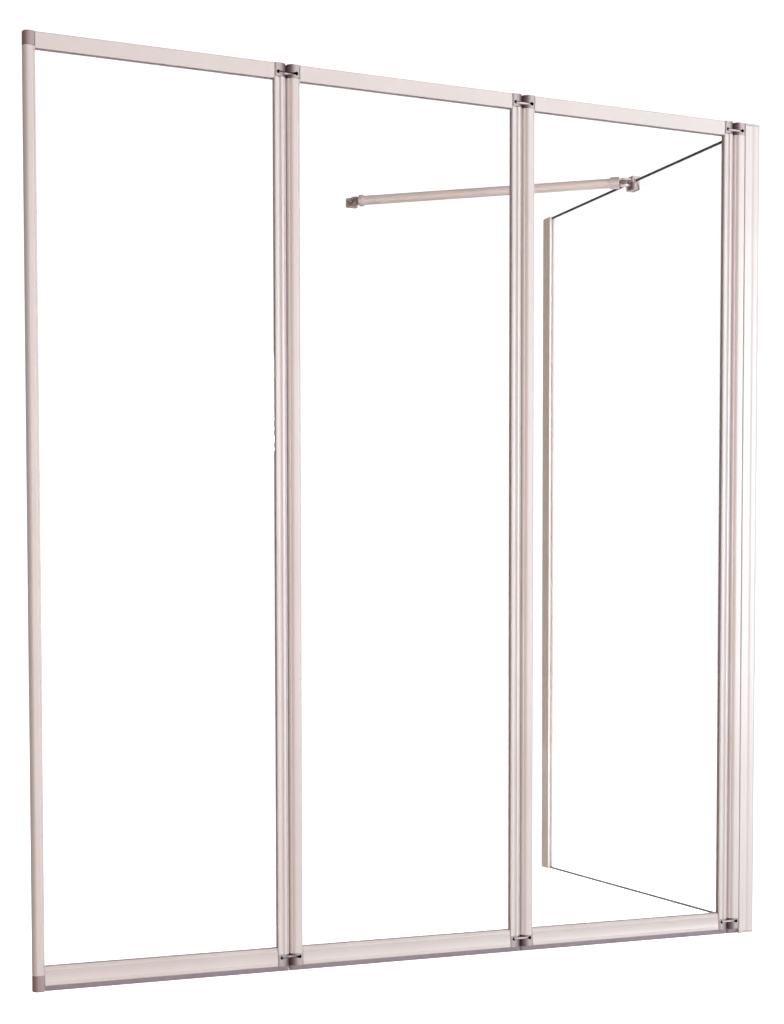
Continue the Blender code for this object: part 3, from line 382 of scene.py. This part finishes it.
def addPiece(name, bm, finish, body):
    mesh = bpy.data.meshes.new(name)
    bm.to_mesh(mesh)
    bm.free()
    mesh.materials.clear()
    mesh.materials.append(finishes[finish])
    mesh.shade_smooth()
    mesh.set_sharp_from_angle(angle=dressing["sharp"])
    piece = bpy.data.objects.new(name, mesh)
    bpy.context.scene.collection.objects.link(piece)
    weights = piece.modifiers.new("evenShading", "WEIGHTED_NORMAL")
    weights.keep_sharp = True
    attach(piece, body)
    return piece


# The dressed copies take these forms from the photograph, inside the CAD box.
# The clamp, the bracket and the sockets are shorter. A socket's row: its swivel, the way of the bar, then its
# cup's end and its hole's place, each first in the solid and then as shown, from the swivel along the bar.
fittings = {
    "cupFloor": 0.0120, "holeReach": 0.0018,
    "bar_glass_socket": ("near", -1, 0.0470, 0.0260, 0.0375, 0.0195),
    "bar_wall_socket": ("far", 1, 0.0250, 0.0170, 0.0210, 0.0150),
    "legEnd": 1.3660, "legsUp": 0.0080,
    "plateCorner": 0.0082, "plateLess": 0.0020,
}
# Flutes in the right stiles, from a stile's left side, and in the post are deeper
flutes = {
    "face": -0.0165, "deepest": 0.0012, "stileStart": 0.0018, "stileEnd": 0.0106, "stileDepthShare": 1.8,
    "postStart": -0.0060, "postEnd": 0.0030, "postDepthShare": 1.1, "postShift": -0.0012,
}
# The free edge is slimmer, and the drip seals nearly meet at the hinges
slim = {"centre": -1.2438, "share": 0.72}
dripEnd = {"reach": 0.0042, "below": 0.0081, "out": 0.00057, "level": 0.0001}
# Seams above the bottom blocks and the bottom cap are lower: heights, and how far they drop
seams = {"stileFoot": 0.0300, "stileDown": 0.0022, "freeDown": 0.0033,
         "blockTop": 0.0288, "blockShoulder": 0.0269, "shoulderDown": 0.0005, "blockReach": 0.0001,
         "capTop": 0.0270, "capReach": 0.0002}
# A bottom rail's front is hollow between two heights, with a deeper step above
hollow = {"front": -0.0154, "low": 0.0133, "high": 0.0319, "depth": 0.0009, "steps": 8,
          "stepFront": -0.0145, "stepFoot": 0.0325, "stepTop": 0.0334, "stepIn": 0.0008}
# The panes stand nearer to the front, and the frames slope away behind them
reveal = {"channelFront": -0.0126, "leftChannelFront": -0.0111, "channelBack": -0.0019, "mouth": 0.0086,
          "forward": -0.0020, "back": 0.0020, "lip": 0.0012, "slope": 0.0060}


def movePane(bm, name):
    bmesh.ops.translate(bm, verts=bm.verts, vec=(0, reveal["forward"], 0))


def moveChannel(bm, axis, inner, way):
    for vert in bm.verts:
        deep = (vert.co[axis] - inner) * way
        if deep < reveal["mouth"] and reveal["channelFront"] < vert.co.y < reveal["channelBack"]:
            vert.co.y += reveal["forward"]
        elif deep < reveal["lip"] and vert.co.y > reveal["back"]:
            vert.co[axis] += way * reveal["slope"]


def lowerStile(bm, name):
    for vert in bm.verts:
        if vert.co.z < seams["stileFoot"]:
            vert.co.z -= seams["freeDown" if name == "leaf_3_left_stile" else "stileDown"]


def openStile(bm, name):
    deepenStile(bm, name)
    lowerStile(bm, name)
    moveChannel(bm, 0, min(vert.co.x for vert in bm.verts), 1)


def openTopRail(bm, name):
    moveChannel(bm, 2, min(vert.co.z for vert in bm.verts), 1)


def hollowFace(bm, name):
    low, high = hollow["low"], hollow["high"]
    for step in range(1, hollow["steps"]):
        level = low + (high - low) * step / hollow["steps"]
        bmesh.ops.bisect_plane(bm, geom=bm.verts[:] + bm.edges[:] + bm.faces[:], plane_co=(0, 0, level),
                               plane_no=(0, 0, 1))
    for vert in bm.verts:
        if vert.co.y < hollow["front"] and low < vert.co.z < high:
            share = (vert.co.z - low) / (high - low)
            vert.co.y += hollow["depth"] * math.sin(math.pi * share)


def openBottomRail(bm, name):
    hollowFace(bm, name)
    deepenStep(bm, name)
    moveChannel(bm, 2, max(vert.co.z for vert in bm.verts), -1)


# Left stiles have a groove beside the nose and a set-back slope beside the glass
grooves = {"front": -0.0138, "noseFrom": 0.00357, "noseTo": 0.00658, "noseIn": 0.0014, "near": 0.00006,
           "face": -0.0150, "slopeEnd": 0.0009, "slopeFrom": 0.00256, "slopeStart": 0.0042, "slopeIn": 0.0022,
           "faceEnd": 0.0030, "faceEndAt": 0.0046}


def grooveNose(bm):
    side = min(vert.co.x for vert in bm.verts)
    for vert in bm.verts:
        aside = vert.co.x - side
        if vert.co.y < grooves["front"] and grooves["noseFrom"] - grooves["near"] < aside < grooves["noseTo"]:
            left = (grooves["noseTo"] - aside) / (grooves["noseTo"] - grooves["noseFrom"])
            vert.co.y += grooves["noseIn"] * left


def slopeEdge(bm):
    inner = max(vert.co.x for vert in bm.verts)
    for vert in bm.verts:
        back = inner - vert.co.x
        if vert.co.y < grooves["face"] and abs(back - grooves["faceEnd"]) < grooves["near"]:
            vert.co.x = inner - grooves["faceEndAt"]
        elif vert.co.y < grooves["face"] and grooves["slopeEnd"] < back < grooves["slopeFrom"]:
            left = (back - grooves["slopeEnd"]) / (grooves["slopeFrom"] - grooves["slopeEnd"])
            vert.co.x = inner - grooves["slopeEnd"] - left * (grooves["slopeStart"] - grooves["slopeEnd"])
            vert.co.y += grooves["slopeIn"] * left


def openHingeStile(bm, name):
    lowerStile(bm, name)
    grooveNose(bm)


def openLeftStile(bm, name):
    lowerStile(bm, name)
    slopeEdge(bm)
    if name == "leaf_3_left_stile":
        slimNose(bm, name)
    else:
        grooveNose(bm)
    inner = max(vert.co.x for vert in bm.verts)
    for vert in bm.verts:
        deep = inner - vert.co.x
        if deep < reveal["mouth"] and reveal["leftChannelFront"] < vert.co.y < reveal["channelBack"]:
            vert.co.y += reveal["forward"]


def slimNose(bm, name):
    for vert in bm.verts:
        if vert.co.x < slim["centre"]:
            vert.co.x = slim["centre"] + (vert.co.x - slim["centre"]) * slim["share"]


def closeSeal(bm, name):
    for limit, way, beside in ((min, -1, "leaf_3_drip_seal"), (max, 1, "post_drip_seal")):
        if name != beside:
            end = limit(vert.co.x for vert in bm.verts)
            for level in {round(vert.co.z, 4) for vert in bm.verts if vert.co.z < dripEnd["below"]}:
                flat = [vert for vert in bm.verts if abs(vert.co.z - level) < dripEnd["level"]]
                reached = limit(vert.co.x for vert in flat)
                for vert in flat:
                    if abs(vert.co.x - reached) < dripEnd["reach"]:
                        vert.co.x += end - reached + way * dripEnd["out"]


def lowerSeam(bm, top, reach, drop):
    for vert in bm.verts:
        if top - reach < vert.co.z < top + dressing["weld"]:
            vert.co.z -= drop


def lowerBlock(bm, name):
    lowerSeam(bm, seams["blockTop"], seams["blockReach"], seams["stileDown"])
    lowerSeam(bm, seams["blockShoulder"], seams["blockReach"], seams["shoulderDown"])


def lowerCap(bm, name):
    slimNose(bm, name)
    lowerSeam(bm, seams["capTop"], seams["capReach"], seams["freeDown"])


def deepenStep(bm, name):
    for vert in bm.verts:
        if vert.co.y < hollow["stepFront"] and hollow["stepFoot"] < vert.co.z < hollow["stepTop"]:
            vert.co.y += hollow["stepIn"]


def shortenSocket(bm, name):
    swivel, sense, cupEnd, shownEnd, hole, shownHole = fittings[name]
    way = Vector((math.cos(barAngle), -math.sin(barAngle), 0)) * sense
    floor = fittings["cupFloor"]
    for vert in bm.verts:
        along = (vert.co - Vector(swivels[swivel])).dot(way)
        if abs(along - hole) < fittings["holeReach"]:
            vert.co += way * (shownHole - hole)
        elif along > floor:
            vert.co += way * (along - floor) * ((shownEnd - floor) / (cupEnd - floor) - 1)


def shortenLegs(bm, name):
    ends = [vert for vert in bm.verts if vert.co.z < fittings["legEnd"] + dressing["weld"]]
    bmesh.ops.translate(bm, verts=ends, vec=(0, 0, fittings["legsUp"]))


def lowerPlate(bm, name):
    for vert in bm.verts:
        rise = vert.co.z - swivels["far"][2]
        if abs(rise) > fittings["plateCorner"]:
            vert.co.z -= math.copysign(fittings["plateLess"], rise)


def deepenFlute(bm, start, end, share, shift):
    for vert in bm.verts:
        depth = vert.co.y - flutes["face"]
        if start < vert.co.x < end and depth < flutes["deepest"]:
            vert.co.y += depth * (share - 1)
            vert.co.x += shift


def deepenStile(bm, name):
    side = min(vert.co.x for vert in bm.verts)
    deepenFlute(bm, side + flutes["stileStart"], side + flutes["stileEnd"], flutes["stileDepthShare"], 0)


def deepenPost(bm, name):
    deepenFlute(bm, flutes["postStart"], flutes["postEnd"], flutes["postDepthShare"], flutes["postShift"])


reshaped = {
    "bar_glass_socket": shortenSocket, "bar_wall_socket": shortenSocket, "glass_clamp": shortenLegs,
    "clamp_pad": shortenLegs, "wall_bracket": lowerPlate, "corner_post": deepenPost,
    "leaf_3_top_cap": slimNose, "leaf_3_bottom_cap": lowerCap, "post_hinge_stile": openHingeStile,
    "post_bottom_block": lowerBlock, "post_drip_seal": closeSeal,
}
reshapedOnLeaves = {
    "right_stile": openStile, "left_stile": openLeftStile, "top_rail": openTopRail,
    "bottom_rail": openBottomRail, "glass": movePane, "gasket": movePane, "drip_seal": closeSeal,
    "nose_seal": lowerStile, "left_bottom_block": lowerBlock, "right_bottom_block": lowerBlock,
}
for number in (1, 2, 3):
    for ending, change in reshapedOnLeaves.items():
        reshaped["leaf_%d_%s" % (number, ending)] = change


def dress(name, finish):
    bm = bmesh.new()
    bm.from_mesh(nodes[name].data)
    bmesh.ops.remove_doubles(bm, verts=bm.verts, dist=dressing["weld"])
    if name in reshaped:
        reshaped[name](bm, name)
    if not name.endswith("_gasket"):        # a gasket's corners stay sharp
        bmesh.ops.dissolve_limit(bm, angle_limit=dressing["flat"], verts=bm.verts, edges=bm.edges)
        edges = [edge for edge in bm.edges if edge.calc_face_angle(0) > dressing["sharp"]]
        bmesh.ops.bevel(bm, geom=edges, offset=dressing["roundings"][finish], offset_type="OFFSET",
                        segments=dressing["steps"], profile=0.5, affect="EDGES", clamp_overlap=False,
                        material=-1)
    piece = addPiece(name + "_dressed", bm, finish, bodyOf[name])
    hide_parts(name)


for name in nodes:
    dress(name, next(kind for ending, kind in endings if name.endswith(ending)))
print("pieces dressed")


# Small pieces that share a CAD node or that part.py leaves out

def boxOf(name):
    corners = [nodes[name].matrix_world @ Vector(corner) for corner in nodes[name].bound_box]
    return [Vector(ends(corner[axis] for corner in corners) for axis in range(3)) for ends in (min, max)]


def cuboid(low, high):
    bm = bmesh.new()
    middle, size = (low + high) / 2, high - low
    bmesh.ops.create_cube(bm, size=1, matrix=Matrix.Translation(middle) @ Matrix.Diagonal((*size, 1)))
    return bm


# Painted shade on the side glass's edges: a dark band at the top and a thin grey one at the bottom stand for
# how dark the glass edge looks through the pane
edgeShadeBand = {"proud": 0.0001, "top": 0.0039, "bottom": 0.0028, "rounding": 0.0004, "steps": 2}


def addEdgeShadeBands():
    low, high = boxOf("side_glass")
    postBack, profileFront = boxOf("corner_post")[1].y, boxOf("wall_profile")[0].y
    out = Vector((edgeShadeBand["proud"], 0, edgeShadeBand["proud"]))
    for name, finish, bottom, top in (
            ("side_glass_top_edge_shade", "edge", high.z - edgeShadeBand["top"], high.z),
            ("side_glass_bottom_edge_shade", "lowerEdgeShade", low.z, low.z + edgeShadeBand["bottom"])):
        bm = cuboid(Vector((low.x, postBack, bottom)) - out, Vector((high.x, profileFront, top)) + out)
        bmesh.ops.bevel(bm, geom=bm.edges[:], offset=edgeShadeBand["rounding"], segments=edgeShadeBand["steps"],
                        profile=0.5, affect="EDGES", material=-1)
        addPiece(name, bm, finish, "fixed")


# Screws: a rounded head with a round recess, and a shank with a thread's ridges
screw = {"steps": 24, "rounding": 0.0004, "roundingSteps": 3, "recessShare": 0.5, "recessDepthShare": 0.55,
         "thread": 0.0008, "ridge": 0.0002}


# The head stands on the plane z = 0 and the shank hangs below it
def screwMesh(headRadius, headHeight, shankRadius, length):
    bm = bmesh.new()
    steps = screw["steps"]
    bmesh.ops.create_cone(bm, cap_ends=True, segments=steps, radius1=headRadius, radius2=headRadius,
                          depth=headHeight, matrix=Matrix.Translation((0, 0, headHeight / 2)))
    rim = [edge for edge in bm.edges if all(vert.co.z > headHeight / 2 for vert in edge.verts)]
    bmesh.ops.bevel(bm, geom=rim, offset=min(screw["rounding"], headHeight / 2),
                    segments=screw["roundingSteps"], profile=0.5, affect="EDGES", material=-1)
    top = max((face for face in bm.faces if face.normal.z > 0.9), key=lambda face: face.calc_area())
    bmesh.ops.inset_individual(bm, faces=[top], thickness=headRadius * screw["recessShare"])
    bmesh.ops.translate(bm, verts=top.verts, vec=(0, 0, -headHeight * screw["recessDepthShare"]))
    turns = max(2, int(length / screw["thread"]))
    for turn in range(turns):
        depth = length / turns
        middle = -depth * (turn + 0.5)
        for side in (1, -1):
            place = Matrix.Translation((0, 0, middle - side * depth / 4))
            bmesh.ops.create_cone(bm, cap_ends=True, segments=steps, depth=depth / 2, matrix=place,
                                  radius1=shankRadius - (screw["ridge"] if side > 0 else 0),
                                  radius2=shankRadius - (0 if side > 0 else screw["ridge"]))
    return bm


def addScrew(name, place, axis, sizes):
    bm = screwMesh(*sizes)
    turn = Vector(axis).to_track_quat("Z", "Y").to_matrix().to_4x4()
    bmesh.ops.transform(bm, matrix=Matrix.Translation(place) @ turn, verts=bm.verts)
    addPiece(name, bm, "steel", "fixed")


# Sizes of each kind: head radius, head height, shank radius, shank length
screwSizes = {
    "wall": (0.0034, 0.0018, 0.0019, 0.0019),
    "bracket": (0.0028, 0.0012, 0.0019, 0.0059),
}
wallScrews = {"count": 4, "end": 0.0900, "back": 0.0020}
bracketScrews = {"offset": 0.0085, "plate": 0.0060}


def addWallScrews():
    low, high = boxOf("wall_profile")
    x = (low.x + high.x) / 2
    span = high.z - low.z - 2 * wallScrews["end"]
    for step in range(wallScrews["count"]):
        z = low.z + wallScrews["end"] + span * step / (wallScrews["count"] - 1)
        addScrew("wall_profile_screw_%d" % (step + 1), (x, high.y - wallScrews["back"], z), (0, -1, 0),
                 screwSizes["wall"])


def addBracketScrews():
    low, high = boxOf("wall_bracket")
    middle = (low + high) / 2
    for step, side in enumerate((-1, 1), 1):
        place = (middle.x + side * bracketScrews["offset"], high.y - bracketScrews["plate"], middle.z)
        addScrew("wall_bracket_screw_%d" % step, place, (0, -1, 0), screwSizes["bracket"])


addEdgeShadeBands()
addWallScrews()
addBracketScrews()
print("edges and screws added")


# Floor, background and lamps

studio = {
    "floorHalf": 12.0,
    "floorColour": (0.55, 0.55, 0.55, 1),
    "floorGlow": 1.25,        # seen by the camera alone, also through the panes
    "skyShown": 1.15,
    "skyMirrored": 0.14,
    "skyLight": 0.25,
    "lamps": {            # place, aim, size, power, colour: outside what the panes mirror
        "right": ((3.1, -3.2, 1.1), (-0.4, 0, 0.6), 1.4, 118.0, (0.77, 0.905, 1.0)),
        "left": ((-2.2, -3.3, 0.6), (-0.6, 0, 0.5), 1.2, 28.0, (1.0, 0.75, 0.64)),
        "side": ((-6.5, -3.2, 1.0), (-0.5, 0, 0.7), 2.4, 36.0, (1.0, 0.94, 0.96)),
        "above": ((1.6, -3.2, 4.6), (-0.2, 0, 0.6), 1.6, 60.0, (0.96, 0.98, 1.0)),
    },
    "front": (17.0, 7.0, 5.0, 0.25, (1.0, 0.96, 0.94)),    # azimuth, rise, spread, power, colour
}


def shownTo(tree, kinds):
    path = tree.nodes.new("ShaderNodeLightPath")
    last = path.outputs[kinds[0]]
    for kind in kinds[1:]:
        either = tree.nodes.new("ShaderNodeMath")
        either.operation = "MAXIMUM"
        tree.links.new(last, either.inputs[0])
        tree.links.new(path.outputs[kind], either.inputs[1])
        last = either.outputs[0]
    return last


def between(tree, fac, low, high):
    made = tree.nodes.new("ShaderNodeMapRange")
    tree.links.new(fac, made.inputs["Value"])
    for socket, value in (("To Min", low), ("To Max", high)):
        if isinstance(value, float):
            made.inputs[socket].default_value = value
        else:
            tree.links.new(value, made.inputs[socket])
    return made.outputs["Result"]


def makeFloor():
    bm = bmesh.new()
    bmesh.ops.create_grid(bm, x_segments=1, y_segments=1, size=studio["floorHalf"])
    mesh = bpy.data.meshes.new("studioFloor")
    bm.to_mesh(mesh)
    bm.free()
    floor = bpy.data.objects.new("studioFloor", mesh)
    bpy.context.scene.collection.objects.link(floor)
    made, tree, shader = newMaterial("studioFloor")
    shader.inputs["Base Color"].default_value = studio["floorColour"]
    shader.inputs["Roughness"].default_value = 1.0
    shader.inputs["Specular IOR Level"].default_value = 0.0
    seen = shownTo(tree, ("Is Camera Ray", "Is Transmission Ray"))
    glow = tree.nodes.new("ShaderNodeEmission")
    tree.links.new(between(tree, seen, 0.0, studio["floorGlow"]), glow.inputs["Strength"])
    both = tree.nodes.new("ShaderNodeAddShader")
    tree.links.new(shader.outputs[0], both.inputs[0])
    tree.links.new(glow.outputs[0], both.inputs[1])
    tree.links.new(both.outputs[0], tree.nodes["Material Output"].inputs["Surface"])
    mesh.materials.append(made)


def makeSky():
    world = bpy.data.worlds.new("whiteStudio")
    bpy.context.scene.world = world
    world.use_nodes = True
    tree = world.node_tree
    mirrored = between(tree, shownTo(tree, ("Is Glossy Ray",)), studio["skyLight"], studio["skyMirrored"])
    seen = shownTo(tree, ("Is Camera Ray", "Is Transmission Ray"))
    shown = tree.nodes["Background"]
    shown.inputs["Color"].default_value = (1, 1, 1, 1)
    tree.links.new(between(tree, seen, mirrored, studio["skyShown"]), shown.inputs["Strength"])


def makeLamp(name):
    place, aim, size, power, colour = studio["lamps"][name]
    data = bpy.data.lights.new(name, "AREA")
    data.size = size
    data.energy = power
    data.color = colour
    lamp = bpy.data.objects.new(name, data)
    bpy.context.scene.collection.objects.link(lamp)
    way = Vector(aim) - Vector(place)
    lamp.matrix_world = Matrix.Translation(place) @ way.to_track_quat("-Z", "Y").to_matrix().to_4x4()


def makeFrontLight():
    azimuth, rise, spreadAngle, power, colour = studio["front"]
    data = bpy.data.lights.new("front", "SUN")
    data.angle = math.radians(spreadAngle)
    data.energy = power
    data.color = colour
    lamp = bpy.data.objects.new("front", data)
    bpy.context.scene.collection.objects.link(lamp)
    flat = math.cos(math.radians(rise))
    way = Vector((-math.sin(math.radians(azimuth)) * flat, math.cos(math.radians(azimuth)) * flat,
                  -math.sin(math.radians(rise))))
    lamp.matrix_world = way.to_track_quat("-Z", "Y").to_matrix().to_4x4()


makeFloor()
makeSky()
makeFrontLight()
for name in studio["lamps"]:
    makeLamp(name)
print("studio made")
